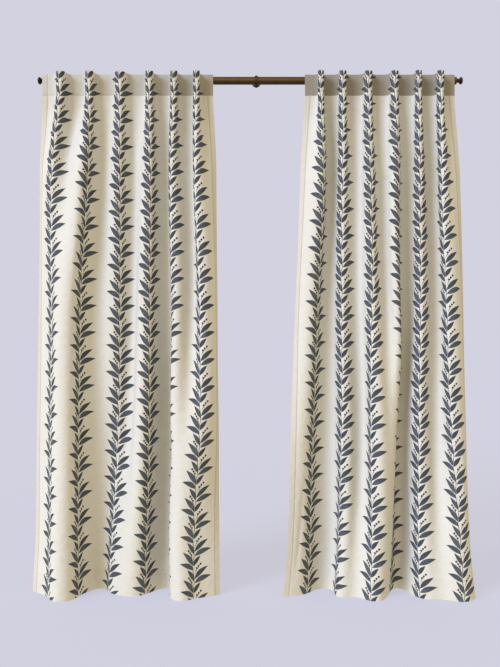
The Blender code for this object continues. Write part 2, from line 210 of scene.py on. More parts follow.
# Soft creases of the cloth, in millimetres on the flat cloth: where each runs from and to, as
# distance from the left edge and drop, how wide it is, and how far it stands forward.
#   from right, from down, to right, to down, width, forward
CREASES = {
    "left": (
        (44, 20, 60, 420, 9, 3.5),
        (66, 60, 84, 620, 11, -3.0),
        (96, 130, 62, 330, 12, 3.0),
        (240, 110, 196, 520, 16, -4.0),
        (300, 380, 268, 980, 18, 3.5),
        (438, 150, 420, 700, 14, -3.0),
        (612, 110, 640, 520, 13, 3.0),
        (705, 640, 676, 1240, 16, 3.5),
        (840, 130, 870, 460, 12, -3.0),
        (1046, 160, 1010, 590, 13, 3.0),
        (1196, 310, 1172, 372, 7, 4.0),
        (1206, 900, 1178, 1460, 14, -3.0),
        (150, 1180, 178, 1730, 16, -3.5),
        (395, 1300, 352, 1900, 18, 4.0),
        (560, 1500, 596, 2080, 16, -3.5),
        (860, 1880, 905, 2300, 14, 4.0),
        (1000, 1640, 962, 1990, 12, -4.0),
        (60, 1960, 96, 2370, 12, 4.0),
    ),
    "right": (
        (50, 90, 74, 640, 10, 3.0),
        (214, 120, 236, 560, 13, -3.0),
        (420, 140, 398, 480, 12, 3.0),
        (470, 460, 500, 1080, 16, -3.5),
        (640, 110, 612, 600, 13, 3.0),
        (836, 150, 862, 520, 12, -3.0),
        (930, 600, 906, 1150, 15, 3.5),
        (1090, 120, 1060, 480, 12, 3.0),
        (1200, 240, 1182, 860, 12, -3.5),
        (180, 980, 150, 1590, 16, 3.5),
        (330, 1240, 366, 1850, 16, -3.5),
        (690, 1180, 662, 1500, 12, 4.0),
        (742, 1330, 700, 1760, 12, -4.0),
        (845, 1700, 880, 2280, 14, 3.5),
        (1010, 1420, 1040, 2050, 16, -3.5),
        (1190, 1650, 1160, 2300, 14, 4.0),
        (540, 1900, 572, 2350, 14, 3.5),
        (70, 1900, 48, 2380, 11, -4.0),
    ),
}

# Rows of the cloth: the spacing of its corners down to each drop, in metres.
ROW_SPACING = (
    {"to": 0.10, "spacing": 0.010},
    {"to": 0.52, "spacing": 0.009},
    {"to": 2.20, "spacing": 0.0145},
    {"to": 2.44, "spacing": 0.011},
)
FACING_ROWS = 8

# Leaves of one repeat of a vine, in millimetres and degrees. Across and up place the foot of a
# leaf from the stem at the repeat's start. Side is 1 to the right and -1 to the left, and pale is
# how far its middle takes the lighter colour. The lighter colour is partly print and partly
# painted light: the leaves left of the stem take more of it, as the light falls from the left.
LEAVES = (
    {"side": 1, "across": 2, "up": 0, "angle": 19, "length": 87, "width": 24, "bow": 7,
     "pale": 0.75},
    {"side": 1, "across": 2, "up": 19, "angle": 39, "length": 86, "width": 22, "bow": 6,
     "pale": 0.45},
    {"side": 1, "across": -4, "up": 79, "angle": 52, "length": 58, "width": 19, "bow": 3,
     "pale": 0.35},
    {"side": -1, "across": 3, "up": 61, "angle": 27, "length": 74, "width": 23, "bow": 7,
     "pale": 0.75},
    {"side": -1, "across": 5, "up": 82, "angle": 53, "length": 82, "width": 22, "bow": 5,
     "pale": 0.95},
    {"side": -1, "across": 0, "up": 9, "angle": 58, "length": 66, "width": 19, "bow": 4,
     "pale": 0.8},
)
STALKS = (
    {"side": 1, "across": 4, "up": 42, "angle": 56, "length": 52, "width": 3.0, "bow": 3},
    {"side": -1, "across": 8, "up": 106, "angle": 66, "length": 50, "width": 3.0, "bow": 3},
)
BERRIES = (
    {"across": 13, "up": 68, "radius": 4.5},
    {"across": 22, "up": 77, "radius": 4.7},
    {"across": 32, "up": 86, "radius": 5.0},
    {"across": -13, "up": 132, "radius": 4.4},
    {"across": -20, "up": 142, "radius": 4.6},
    {"across": -27, "up": 152, "radius": 4.9},
)


class CurtainClothSettings(PropertyGroup):
    """Sizes of the cloth as it was cut and sewn."""

    width: FloatProperty(name="Flat width", description="Width of one panel laid flat",
                         default=1.27, unit="LENGTH")
    drop: FloatProperty(name="Drop", description="Height from the top edge to the hem",
                        default=CLOTH_TOP - CLOTH_FOOT, unit="LENGTH")
    thickness: FloatProperty(name="Thickness", description="Thickness of the face cloth",
                             default=1.2 * MM, unit="LENGTH")
    facing_thickness: FloatProperty(name="Facing thickness", default=1.0 * MM, unit="LENGTH",
                                    description="Thickness of the facings and tabs")
    facing_depth: FloatProperty(name="Facing depth", default=CLOTH_TOP - FACING_FOOT,
                                description="Height of the facing behind the heading",
                                unit="LENGTH")
    side_hem: FloatProperty(name="Side hem", description="Width of the turned side hems",
                            default=25 * MM, unit="LENGTH")
    foot_hem: FloatProperty(name="Foot hem", description="Height of the turned foot hem",
                            default=90 * MM, unit="LENGTH")
    ground: FloatVectorProperty(name="Cloth", description="Colour of the unprinted cloth",
                                subtype="COLOR", default=(0.63, 0.62, 0.59))
    # Painted shade: the colour that the heading on the tabs and the stitched lines take, standing
    # for shade and for less light through the double cloth. The heading settings give how far each
    # heading takes it; the right one is darker.
    painted_shade: FloatVectorProperty(name="Doubled cloth", description="Colour where it lies double",
                                 subtype="COLOR", default=(0.215, 0.19, 0.145))
    painted_heading_shade_left: FloatProperty(name="Heading shade, left", default=0.78,
                                description="How far the left heading takes the doubled colour")
    painted_heading_shade_right: FloatProperty(name="Heading shade, right", default=0.86,
                                 description="How far the right heading takes the doubled colour")
    ghost: FloatProperty(name="Print on the back", default=0.28,
                         description="How strongly the print shows through to the back")
    # The slub colour also darkens the hems, as painted shade.
    shade: FloatVectorProperty(name="Slub", description="Colour of the thicker, darker threads",
                               subtype="COLOR", default=(0.55, 0.515, 0.45))


class CurtainPrintSettings(PropertyGroup):
    """Sizes and colours of the printed vines."""

    pitch: FloatProperty(name="Vine pitch", description="Distance from one vine to the next",
                         default=203.2 * MM, unit="LENGTH")
    repeat: FloatProperty(name="Repeat", description="Height of one repeat of a vine",
                          default=125 * MM, unit="LENGTH")
    start_left: FloatProperty(name="Start, left", default=118 * MM, unit="LENGTH",
                              description="Drop of the first low right leaf on the left panel")
    start_right: FloatProperty(name="Start, right", default=40 * MM, unit="LENGTH",
                               description="Drop of the first low right leaf on the right panel")
    stem_width: FloatProperty(name="Stem width", description="Width of a vine's stem",
                              default=2.6 * MM, unit="LENGTH")
    stem_sway: FloatProperty(name="Stem sway", description="How far the stem swings to a side",
                             default=3.6 * MM, unit="LENGTH")
    leaf: FloatVectorProperty(name="Leaf", description="Colour of the leaves", subtype="COLOR",
                              default=(0.014, 0.019, 0.026))
    # The paler leaf colour is partly print and partly painted light.
    pale_and_lit_leaf: FloatVectorProperty(name="Leaf, light", description="Colour of the paler leaf parts",
                              subtype="COLOR", default=(0.125, 0.152, 0.205))
    berry: FloatVectorProperty(name="Stem and berry", description="Colour of stems and berries",
                               subtype="COLOR", default=(0.014, 0.016, 0.020))


class CurtainRodSettings(PropertyGroup):
    """Sizes and colours of the rod and its fittings."""

    round_sides: IntProperty(name="Sides", description="Sides of a turned piece", default=64)
    bronze: FloatVectorProperty(name="Bronze", description="Colour of the rod and brackets",
                                subtype="COLOR", default=(0.042, 0.020, 0.007))
    # The worn colour also makes the painted highlight along the middle of the rod.
    worn_and_lit: FloatVectorProperty(name="Worn bronze", description="Colour where the finish is thin",
                              subtype="COLOR", default=(0.22, 0.125, 0.062))
    dark: FloatVectorProperty(name="Dark bronze", description="Colour of finials and screws",
                              subtype="COLOR", default=(0.027, 0.019, 0.013))
    speck: FloatVectorProperty(name="Specks", description="Colour of the dark specks",
                               subtype="COLOR", default=(0.02, 0.014, 0.01))


class CurtainStageSettings(PropertyGroup):
    """Camera, lights and floor."""

    distance: FloatProperty(name="Camera distance", default=3.4, unit="LENGTH",
                            description="Distance of the camera from the heading")
    across: FloatProperty(name="Camera across", default=-30.2 * MM, unit="LENGTH",
                          description="Place of the camera along the rod")
    height: FloatProperty(name="Camera height", default=-1.221, unit="LENGTH",
                          description="Height of the camera from the frame's origin")
    lens: FloatProperty(name="Lens", description="Focal length for a picture 36 mm high",
                        default=38.88, unit="CAMERA")
    key_strength: FloatProperty(name="Key light", description="Strength of the key light",
                                default=2.32)
    key_turn: FloatProperty(name="Key light, turn", default=48.0,
                            description="Degrees to the left of the camera")
    key_height: FloatProperty(name="Key light, height", default=24.0,
                              description="Degrees above the horizon")
    key_softness: FloatProperty(name="Key light, softness", default=26.0,
                                description="Degrees that the light spans, seen from the cloth")
    key_colour: FloatVectorProperty(name="Key light, colour", subtype="COLOR",
                                    description="Colour of the key light",
                                    default=(0.89, 1.04, 1.36))
    backdrop: FloatVectorProperty(name="Backdrop", description="Colour behind the curtains",
                                  subtype="COLOR", default=(0.651, 0.644, 0.745))
    sky: FloatVectorProperty(name="Sky", description="Colour of the even light",
                             subtype="COLOR", default=(0.86, 0.75, 0.52))
    floor: FloatVectorProperty(name="Floor", description="Colour of the floor",
                               subtype="COLOR", default=(0.16, 0.16, 0.17))


# Material nodes

class Value:
    """A number in a material. Operators on it add Math nodes."""

    def __init__(self, finish, socket):
        self.finish = finish
        self.socket = socket

    def math(self, operation, *others):
        node = self.finish.node("ShaderNodeMath", {"operation": operation}, self, *others)
        return Value(self.finish, node.outputs[0])

    def __add__(self, other):
        return self.math("ADD", other)

    __radd__ = __add__

    def __mul__(self, other):
        return self.math("MULTIPLY", other)

    __rmul__ = __mul__

    def __sub__(self, other):
        return self.math("SUBTRACT", other)

    def __rsub__(self, other):
        return self.math("MULTIPLY", -1.0).math("ADD", other)

    def __truediv__(self, other):
        return self.math("DIVIDE", other)

    def __pow__(self, other):
        return self.math("POWER", other)

    def __abs__(self):
        return self.math("ABSOLUTE")

    def clamped(self):
        """Held between 0 and 1."""
        return self.math("MAXIMUM", 0.0).math("MINIMUM", 1.0)

    def wrapped(self, span):
        """Brought within half a span of zero by whole spans."""
        return self.math("WRAP", span / 2, -span / 2)

    def edge(self, width):
        """A soft step from 0 to 1 where the value crosses zero."""
        return (self / width + 0.5).clamped()

    def larger(self, other):
        return self.math("MAXIMUM", other)


class Finish:
    """A procedural material under construction."""

    def __init__(self, name):
        self.material = bpy.data.materials.new(name)
        self.material.use_nodes = True
        self.tree = self.material.node_tree
        self.shader = self.tree.nodes["Principled BSDF"]

    def node(self, kind, settings=None, *values, **named):
        """Add a node, set it up, and give its sockets their values or links."""
        made = self.tree.nodes.new(kind)
        for key, setting in (settings or {}).items():
            setattr(made, key, setting)
        for key, value in list(enumerate(values)) + list(named.items()):
            socket = made.inputs[key.replace("_", " ") if isinstance(key, str) else key]
            self.feed(socket, value)
        return made

    def feed(self, socket, value):
        """Link a socket, or set its value."""
        if isinstance(value, Value):
            value = value.socket
        if isinstance(value, bpy.types.NodeSocket):
            self.tree.links.new(value, socket)
        elif hasattr(value, "__len__") and len(socket.default_value) == 4:
            socket.default_value = (*value[:3], 1.0)
        else:
            socket.default_value = value

    def mix(self, low, high, share):
        """Blend two colours."""
        made = self.tree.nodes.new("ShaderNodeMix")
        made.data_type = "RGBA"
        self.feed(made.inputs[0], share)
        self.feed(made.inputs[6], low)
        self.feed(made.inputs[7], high)
        return made.outputs[2]

    def noise(self, place, scale, detail, roughness):
        """Smooth noise from 0 to 1 at a place."""
        made = self.node("ShaderNodeTexNoise", None, Vector=place, Scale=scale, Detail=detail,
                         Roughness=roughness)
        return Value(self, made.outputs["Fac"])

    def object_place(self, stretch=(1, 1, 1)):
        """Object coordinates, stretched."""
        made = self.node("ShaderNodeTexCoord")
        scaled = self.node("ShaderNodeMapping", None, Vector=made.outputs["Object"], Scale=stretch)
        return scaled.outputs[0]

    def set(self, **sockets):
        """Set or link the shader's sockets."""
        for name, value in sockets.items():
            self.feed(self.shader.inputs[name.replace("_", " ")], value)

    def bump(self, height, distance, strength):
        """Turn a height into the shader's normal."""
        made = self.node("ShaderNodeBump", None, Strength=strength, Distance=distance,
                         Height=height)
        self.feed(self.shader.inputs["Normal"], made.outputs[0])


def flat_place(finish, settings):
    """Distances right and down on the flat cloth, in metres, from the piece's UV map."""
    place = finish.node("ShaderNodeUVMap", {"uv_map": "cut"})
    parts = finish.node("ShaderNodeSeparateXYZ", None, place.outputs[0])
    right = Value(finish, parts.outputs[0]) * settings.width
    down = (1 - Value(finish, parts.outputs[1])) * settings.drop
    return right, down


def leaf_depth(across, up, leaf, repeat):
    """How far inside a leaf a point lies, and how far along it and off its midrib, in metres.

    A leaf is widest before its middle, ends in a point, and bows upward.
    """
    angle = math.radians(leaf["angle"])
    length = leaf["length"] * MM
    half_width = leaf["width"] * MM / 2
    middle = leaf["up"] * MM + length * math.sin(angle) / 2
    rise = (up - middle).wrapped(repeat) + length * math.sin(angle) / 2
    out = across * leaf["side"] - leaf["across"] * MM
    along = (out * math.cos(angle) + rise * math.sin(angle)) / length
    inside = along.clamped()
    bow = inside * (1 - inside) * (4 * leaf["bow"] * MM)
    off = abs(rise * math.cos(angle) - out * math.sin(angle) - bow)
    reach = (inside ** 0.85 * math.pi).math("SINE") * half_width
    depth = reach - off - abs(along - inside) * length
    return depth, inside, off


def berry_depth(across, up, berry, repeat):
    """How far inside a berry a point lies, in metres."""
    out = across - berry["across"] * MM
    rise = (up - berry["up"] * MM).wrapped(repeat)
    return berry["radius"] * MM - (out * out + rise * rise).math("SQRT")


def printed_vines(finish, right, down, start, settings):
    """Coverage of the leaves, their paler parts, partly print and partly painted light, and
    coverage of stems and berries.
    """
    repeat = settings.repeat
    soft = PRINT_EDGE
    across = (right - FIRST_VINE).wrapped(settings.pitch)
    up = start - down
    width = bpy.context.scene.curtain_cloth.width
    printed = (width / 2 - PRINT_MARGIN - abs(right - width / 2)).edge(soft)
    leaves = 0.0
    light = 0.0
    for leaf in LEAVES:
        depth, inside, off = leaf_depth(across, up, leaf, repeat)
        cover = depth.edge(soft)
        paler = cover * (depth - LEAF_RIM).edge(LEAF_RIM_EDGE) * (off - MIDRIB).edge(MIDRIB_EDGE)
        around = 1 - (depth + LEAF_GAP).edge(soft)
        leaves = around * leaves + cover
        paler = paler * (PALE_AT_FOOT - inside * PALE_LOST_AT_TIP)
        light = around * light + paler * leaf["pale"]
    sway = ((up / repeat - 0.10) * (2 * math.pi)).math("COSINE") * settings.stem_sway
    stem = (settings.stem_width / 2 - abs(across + settings.stem_sway - sway)).edge(soft)
    for stalk in STALKS:
        stem = stem.larger(leaf_depth(across, up, stalk, repeat)[0].edge(soft))
    for berry in BERRIES:
        stem = stem.larger(berry_depth(across, up, berry, repeat).edge(soft))
    return leaves * printed, light, stem * printed


def weave(finish, right, down):
    """Slubs, threads and rumples of a plain weave: a share of darker thread, and a height."""
    place = finish.node("ShaderNodeCombineXYZ", None, right, down, 0.0).outputs[0]
    warp = finish.node("ShaderNodeMapping", None, Vector=place,
                       Scale=(1, SLUB_STRETCH, 1)).outputs[0]
    weft = finish.node("ShaderNodeMapping", None, Vector=place,
                       Scale=(SLUB_STRETCH, 1, 1)).outputs[0]
    warp_slub = finish.noise(warp, SLUB_SCALE, 3.0, 0.6)
    weft_slub = finish.noise(weft, SLUB_SCALE, 3.0, 0.6)
    patches = finish.noise(place, PATCH_SCALE, 2.0, 0.5)
    rumples = finish.noise(place, RUMPLE_SCALE, 3.0, 0.55)
    ripple = 2 * math.pi / THREAD_PITCH
    threads = (right * ripple).math("SINE") * (down * ripple).math("SINE")
    slubs = warp_slub * 0.5 + weft_slub * 0.5
    darker = ((slubs - 0.42) * 2.2).clamped() * 0.55 + (patches - 0.35).clamped() * 0.35
    darker = darker + (rumples - 0.48).clamped() * 0.9
    return darker, slubs * 0.8 + threads * 0.12 + rumples * 12


def seam_lines(right, down, cloth):
    """Where the cloth dips at its stitched lines and beside its side hems, bumped and darkened
    with painted shade; painted shade where its hems lie double; and painted shade on its heading
    over the tabs.
    """
    soft = STITCH_EDGE
    from_edge = cloth.width / 2 - abs(right - cloth.width / 2)
    from_foot = cloth.drop - down
    side_line = abs(from_edge - cloth.side_hem)
    facing_line = abs(down - cloth.facing_depth + STITCH_ABOVE_FOOT)
    # The stitched lines and the dip beside the side hems are bumped and darkened with painted
    # shade.
    lines = (STITCH - side_line).edge(soft)
    lines = lines.larger((HEM_DIP_AND_SHADE - side_line).edge(HEM_DIP_AND_SHADE_EDGE) * 0.6)
    lines = lines.larger((STITCH - abs(from_foot - cloth.foot_hem)).edge(soft) * 0.12)
    lines = lines.larger((STITCH - facing_line).edge(soft))
    # Painted shade where the hems lie double.
    hems = (cloth.side_hem - from_edge).edge(soft)
    hems = hems.larger((cloth.foot_hem - from_foot).edge(soft) * 0.15)
    from_vine = abs((right - FIRST_VINE).wrapped(bpy.context.scene.curtain_print.pitch))
    # Painted shade in the recesses over the tabs, little on the loops.
    painted_shade_on_tabs = LOOP_SHADE + (from_vine - LOOP_HALF).edge(LOOP_EDGE) * (1 - LOOP_SHADE)
    heading = (cloth.facing_depth - down).edge(soft) * painted_shade_on_tabs
    return lines, hems, heading


def painted_heading_shade_share(side, right, cloth):
    """How far a panel's heading takes the painted shade. On the left panel it grows from left to
    right.
    """
    if side == "left":
        return (right / cloth.width * SHADE_GROWTH + SHADE_AT_LEFT) * cloth.painted_heading_shade_left
    return cloth.painted_heading_shade_right


def printed_cloth(side, back=False):
    """The face cloth: cream linen weave with climbing leaves, which show through to its back, with
    painted shade on its heading, hems and stitched lines and painted light on some leaves.
    """
    cloth = bpy.context.scene.curtain_cloth
    vines = bpy.context.scene.curtain_print
    finish = Finish(("cloth back " if back else "printed cloth ") + side)
    strength = cloth.ghost if back else 1.0
    right, down = flat_place(finish, cloth)
    start = vines.start_left if side == "left" else vines.start_right
    painted_shade_share = painted_heading_shade_share(side, right, cloth)
    leaves, light, stem = printed_vines(finish, right, down, start, vines)
    darker, height = weave(finish, right, down)
    lines, hems, heading = seam_lines(right, down, cloth)
    # The hems take the slub colour as painted shade.
    ground = finish.mix(cloth.ground, cloth.shade, (darker + hems * 0.6).clamped())
    # Painted shade on the stitched lines and on the heading over the tabs.
    ground = finish.mix(ground, cloth.painted_shade, (lines * 0.6).larger(heading * painted_shade_share))
    # The leaves' paler parts: partly print, partly painted light.
    leaf = finish.mix(vines.leaf, vines.pale_and_lit_leaf, (light * (0.3 + darker * 1.3)).clamped())
    colour = finish.mix(ground, leaf, leaves * (0.97 * strength))
    colour = finish.mix(colour, vines.berry, stem * (0.95 * strength))
    finish.set(Base_Color=colour, Roughness=0.92 - leaves * 0.08, Specular_IOR_Level=0.1,
               Sheen_Weight=0.03, Sheen_Roughness=0.6)
    finish.bump(height - lines * 1.6, 0.5 * MM, 0.55)
    return finish.material


def plain_cloth():
    """The facings and tabs: the same weave, unprinted."""
    cloth = bpy.context.scene.curtain_cloth
    finish = Finish("plain cloth")
    right, down = flat_place(finish, cloth)
    darker, height = weave(finish, right, down)
    colour = finish.mix(cloth.ground, cloth.shade, (darker + 0.15).clamped())
    finish.set(Base_Color=colour, Roughness=0.93, Specular_IOR_Level=0.15, Sheen_Weight=0.12,
               Sheen_Roughness=0.6)
    finish.bump(height, 0.5 * MM, 0.55)
    return finish.material


def bronze_metal(name, base, worn_and_lit, share):
    """Brushed bronze with a thin, uneven dark finish, worn lighter in random patches, and a
    painted highlight: a lighter band along the middle of the rod's height, darker at its top and
    bottom.
    """
    finish = Finish(name)
    brushed = finish.noise(finish.object_place(BRUSH_STRETCH), BRUSH_SCALE, 4.0, 0.6)
    clouds = finish.noise(finish.object_place(), CLOUD_SCALE, 3.0, 0.55)
    specks = finish.noise(finish.object_place(), SPECK_SCALE, 2.0, 0.5)
    height = finish.node("ShaderNodeSeparateXYZ", None, finish.object_place()).outputs[2]
    height = (Value(finish, height) - ROD_AXIS.z) / ROD_RADIUS
    # Painted highlight: lighter along the middle of the height, darker at the top and bottom.
    painted_highlight_band = (1.1 - abs(height - 0.1) * 1.5).clamped()
    wear_and_highlight = (brushed * 0.35 + clouds * 0.3 - 0.2 + painted_highlight_band * 0.75).clamped() * share
    colour = finish.mix(base, worn_and_lit, wear_and_highlight)
    speck = bpy.context.scene.curtain_metal.speck
    colour = finish.mix(colour, speck, ((specks - 0.62) * 5.0).clamped() * 0.5)
    finish.set(Base_Color=colour, Metallic=0.92, Roughness=0.30 + clouds * 0.16 + brushed * 0.08)
    finish.bump(brushed * 0.4 + specks * 0.3, 0.15 * MM, 0.4)
    return finish.material


# Folds, as in the solids

def step_length(finer=1):
    """Length of one step of cloth."""
    return bpy.context.scene.curtain_cloth.width / (STEPS * finer)


def loop_turns(chord):
    """Turning angles of a loop of the heading whose two feet are a chord apart."""
    wave = np.sin(2 * math.pi * (np.arange(LOOP_STEPS) + 0.5) / LOOP_STEPS)
    low, high = 0.0, LARGEST_SWING
    for _ in range(SWING_HALVINGS):
        swing = (low + high) / 2
        if np.cos(swing * wave).sum() * step_length() > chord:
            low = swing
        else:
            high = swing
    return -swing * wave


def tab_centres(side):
    """Places of the tabs along the rod, from the frame."""
    boxes = [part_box("tab_{}_{}".format(side, number)) for number in range(1, TABS + 1)]
    return np.array([(low.x + high.x) / 2 for low, high in boxes])


def heading_section(side):
    """Turning angles and start of the section that the tabs hold."""
    tabs = tab_centres(side)
    flat = FLAT_STEPS * step_length()
    turns = [np.zeros(FLAT_STEPS)]
    for pitch in np.diff(tabs):
        turns += [loop_turns(pitch - flat), np.zeros(FLAT_STEPS)]
    return np.concatenate(turns), np.array([tabs[0] - flat / 2, 0.0])


def reach_of_stations(finer=1):
    """For each station, the length of each step of cloth that lies to its left."""
    pitch = FLAT_STEPS + LOOP_STEPS
    inner = FLAT_STEPS + LOOP_STEPS / 2 + np.arange(2 * TABS - 3) * pitch / 2
    along = np.concatenate([[0.0], inner, [STEPS]]) * finer
    return np.clip(along[:, None] - np.arange(STEPS * finer), 0, 1) * step_length(finer)


def station_places(turns, starts, reach):
    """Where the stations of each row lie, across and to the back."""
    return np.hstack([starts[:, :1] + np.cos(turns) @ reach.T,
                      starts[:, 1:] + np.sin(turns) @ reach.T])


def rows_beside(turns):
    """The mean of the rows above and below each row."""
    above = np.vstack([turns[:1], turns[:-1]])
    below = np.vstack([turns[1:], turns[-1:]])
    return (above + below) / 2


def settle(turns, starts, places, rest, reach, follow=0.0, rounds=SETTLING_ROUNDS, fixed=0):
    """Turn the steps of each row of cloth until its stations lie close to their places.

    Each round solves for the small turns that bring the stations to their places while the cloth
    bends as little as it can away from its rest turns, and from the rows beside it. The first
    rows may be fixed.
    """
    steps = turns.shape[1]
    count = len(reach)
    bend = STIFFNESS * math.sqrt(steps / STEPS) * np.diff(np.eye(steps), axis=0)
    bend = bend.T @ bend
    springs = DAMPING * np.eye(steps + 2)
    springs[:steps, :steps] += bend + follow ** 2 * np.eye(steps)
    hold = np.repeat([HOLD_ACROSS, HOLD_FORWARD], count)
    slope = np.zeros((len(turns), 2 * count, steps + 2))
    slope[:, :count, steps] = HOLD_ACROSS
    slope[:, count:, steps + 1] = HOLD_FORWARD
    for _ in range(rounds):
        slope[:, :count, :steps] = -HOLD_ACROSS * reach * np.sin(turns)[:, None, :]
        slope[:, count:, :steps] = HOLD_FORWARD * reach * np.cos(turns)[:, None, :]
        miss = hold * (station_places(turns, starts, reach) - places)
        pull = (miss[:, None, :] @ slope)[:, 0, :]
        pull[:, :steps] += (turns - rest) @ bend + follow ** 2 * (turns - rows_beside(turns))
        change = -np.linalg.solve(slope.transpose(0, 2, 1) @ slope + springs, pull[:, :, None])
        change = change[:, :, 0]
        largest = np.abs(change[:, :steps]).max(axis=1)
        change *= np.minimum(1.0, LARGEST_TURN / np.maximum(largest, SETTLED))[:, None]
        change[:fixed] = 0
        turns = turns + change[:, :steps]
        starts = starts + change[:, steps:]
        if np.abs(change).max() < SETTLED:
            break
    return turns, starts


def known_sections(side):
    """Drops of the known sections of a panel, their turns with starts, and their stations."""
    reach = reach_of_stations()
    turns, start = heading_section(side)
    turns, starts = turns[None, :], start[None, :]
    drops = [0.0, HEADING_DEPTH]
    states = [np.hstack([turns, starts])] * 2
    places = [station_places(turns, starts, reach)] * 2
    for row in SECTIONS[side]:
        wanted = np.concatenate([row["across"], -np.array(row["forward"])]) * MM
        turns, starts = settle(turns, starts, wanted[None, :], np.zeros((1, STEPS)), reach)
        drops.append(row["drop"] * MM)
        states.append(np.hstack([turns, starts]))
        places.append(station_places(turns, starts, reach))
    return np.array(drops), np.vstack(states), np.vstack(places)


def blend(drops, rows, drop):
    """A row at any drop, on a smooth curve through the known ones that never overshoots."""
    spans = np.diff(drops)[:, None]
    rates = np.diff(rows, axis=0) / spans
    product = rates[:-1] * rates[1:]
    total = rates[:-1] + rates[1:]
    safe = np.where(product > 0, total, 1.0)
    inner = np.where(product > 0, 2 * product / safe, 0.0)
    slopes = np.vstack([rates[:1], inner, rates[-1:]])
    index = int(np.clip(np.searchsorted(drops, drop) - 1, 0, len(drops) - 2))
    span = spans[index]
    t = (drop - drops[index]) / span
    rise = t * t * (3 - 2 * t)
    return (rows[index] * (1 - rise) + rows[index + 1] * rise
            + span * slopes[index] * t * (1 - t) ** 2
            - span * slopes[index + 1] * t * t * (1 - t))


def settled_rows(side):
    """Rows of the whole panel, settled together: their drops, turns with starts, and stations."""
    known, states, places = known_sections(side)
    below = HEADING_DEPTH + ROW_STEP * np.arange(round((known[-1] - HEADING_DEPTH) / ROW_STEP) + 1)
    drops = np.concatenate([[0.0], np.minimum(below, known[-1])])
    state = np.array([blend(known, states, drop) for drop in drops])
    place = np.array([blend(known, places, drop) for drop in drops])
    reach = reach_of_stations()
    turns, starts = settle(state[:, :STEPS], state[:, STEPS:], place, state[:, :STEPS], reach,
                           FOLLOW, SETTLING_ROUNDS, fixed=2)
    return drops, np.hstack([turns, starts]), station_places(turns, starts, reach)


def fold_lines(rows, drops):
    """Where the cloth runs at each drop, as points across and to the back."""
    known, states, places = rows
    state = np.array([blend(known, states, drop) for drop in drops])
    place = np.array([blend(known, places, drop) for drop in drops])
    middles = (np.arange(STEPS) + 0.5) * FINER
    fine = np.arange(STEPS * FINER) + 0.5
    turns = np.array([np.interp(fine, middles, row[:STEPS]) for row in state])
    turns, starts = settle(turns, state[:, STEPS:], place, turns, reach_of_stations(FINER),
                           rounds=FINER_ROUNDS)
    steps = np.stack([np.cos(turns), np.sin(turns)], axis=2) * step_length(FINER)
    first = np.zeros((len(drops), 1, 2))
    return starts[:, None, :] + np.concatenate([first, np.cumsum(steps, axis=1)], axis=1)


def line_normals(points):
    """Unit normals of a line of points, to its left."""
    steps = np.diff(points, axis=0)
    steps /= np.linalg.norm(steps, axis=1)[:, None]
    normals = np.column_stack([-steps[:, 1], steps[:, 0]])
    middle = np.vstack([normals[:1], normals]) + np.vstack([normals, normals[-1:]])
    return middle / np.linalg.norm(middle, axis=1)[:, None]


def heading_y():
    """Middle of the cloth's thickness where it lies on the tabs, from the frame."""
    low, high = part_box("facing_left")
    return high.y - FACING_SOLID - SOLID_GAP - PANEL_SOLID / 2


# Cloth pieces

def new_sheet(name, grid, cuts, thickness, *finishes):
    """A cloth piece from a grid of points and their places on the flat cloth.

    A second finish is for its back.
    """
    rows, columns = grid.shape[:2]
    mesh = bpy.data.meshes.new(name)
    faces = []
    for row in range(rows - 1):
        for column in range(columns - 1):
            a = row * columns + column
            faces.append((a, a + columns, a + columns + 1, a + 1))
    mesh.from_pydata(grid.reshape(-1, 3).tolist(), [], faces)
    layer = mesh.uv_layers.new(name="cut")
    corners = np.zeros(len(mesh.loops), dtype=np.int32)
    mesh.loops.foreach_get("vertex_index", corners)
    layer.data.foreach_set("uv", cuts.reshape(-1, 2)[corners].ravel())
    for finish in finishes:
        mesh.materials.append(finish)
    made = bpy.data.objects.new(name, mesh)
    bpy.context.collection.objects.link(made)
    thicken = made.modifiers.new("thickness", "SOLIDIFY")
    thicken.thickness = thickness
    thicken.offset = 0.0
    thicken.material_offset = len(finishes) - 1
    apply_modifiers(made)
    made.data.shade_smooth()
    made.data.set_sharp_from_angle(angle=math.radians(70))
    return made


def apply_modifiers(piece):
    """Apply a piece's modifiers in order."""
    bpy.ops.object.select_all(action="DESELECT")
    bpy.context.view_layer.objects.active = piece
    piece.select_set(True)
    for modifier in [step.name for step in piece.modifiers]:
        bpy.ops.object.modifier_apply(modifier=modifier)
    piece.select_set(False)


def cloth_drops():
    """Drops of the rows of the panel's corners."""
    drops = [0.0]
    for band in ROW_SPACING:
        first = drops[-1]
        count = round((band["to"] - first) / band["spacing"])
        drops += [first + (band["to"] - first) * (row + 1) / count for row in range(count)]
    return np.array(drops)


def hang(lines, drops, lifts):
    """Corners of a sheet that hangs in folds. A lift sets a corner back, square to the cloth."""
    grid = []
    for line, drop, lift in zip(lines, drops, lifts):
        moved = line + line_normals(line) * lift[:, None]
        height = np.full(len(line), CLOTH_TOP - drop)
        grid.append(np.column_stack([moved[:, 0], moved[:, 1] + heading_y(), height]))
    return np.array(grid)


def crease_lifts(side, drops):
    """How far the creases set each corner back. They fade out at both of their ends."""
    width = bpy.context.scene.curtain_cloth.width
    right, down = np.meshgrid(np.linspace(0, width, STEPS * FINER + 1), drops)
    lifts = np.zeros(right.shape)
    for row in CREASES[side]:
        x, y, to_x, to_y, spread, forward = np.array(row) * MM
        run = np.hypot(to_x - x, to_y - y)
        along = ((right - x) * (to_x - x) + (down - y) * (to_y - y)) / run ** 2
        along = np.clip(along, 0, 1)
        away = np.hypot(right - x - along * (to_x - x), down - y - along * (to_y - y))
        lifts -= forward * np.exp(-(away / spread) ** 2) * np.sin(math.pi * along)
    return lifts


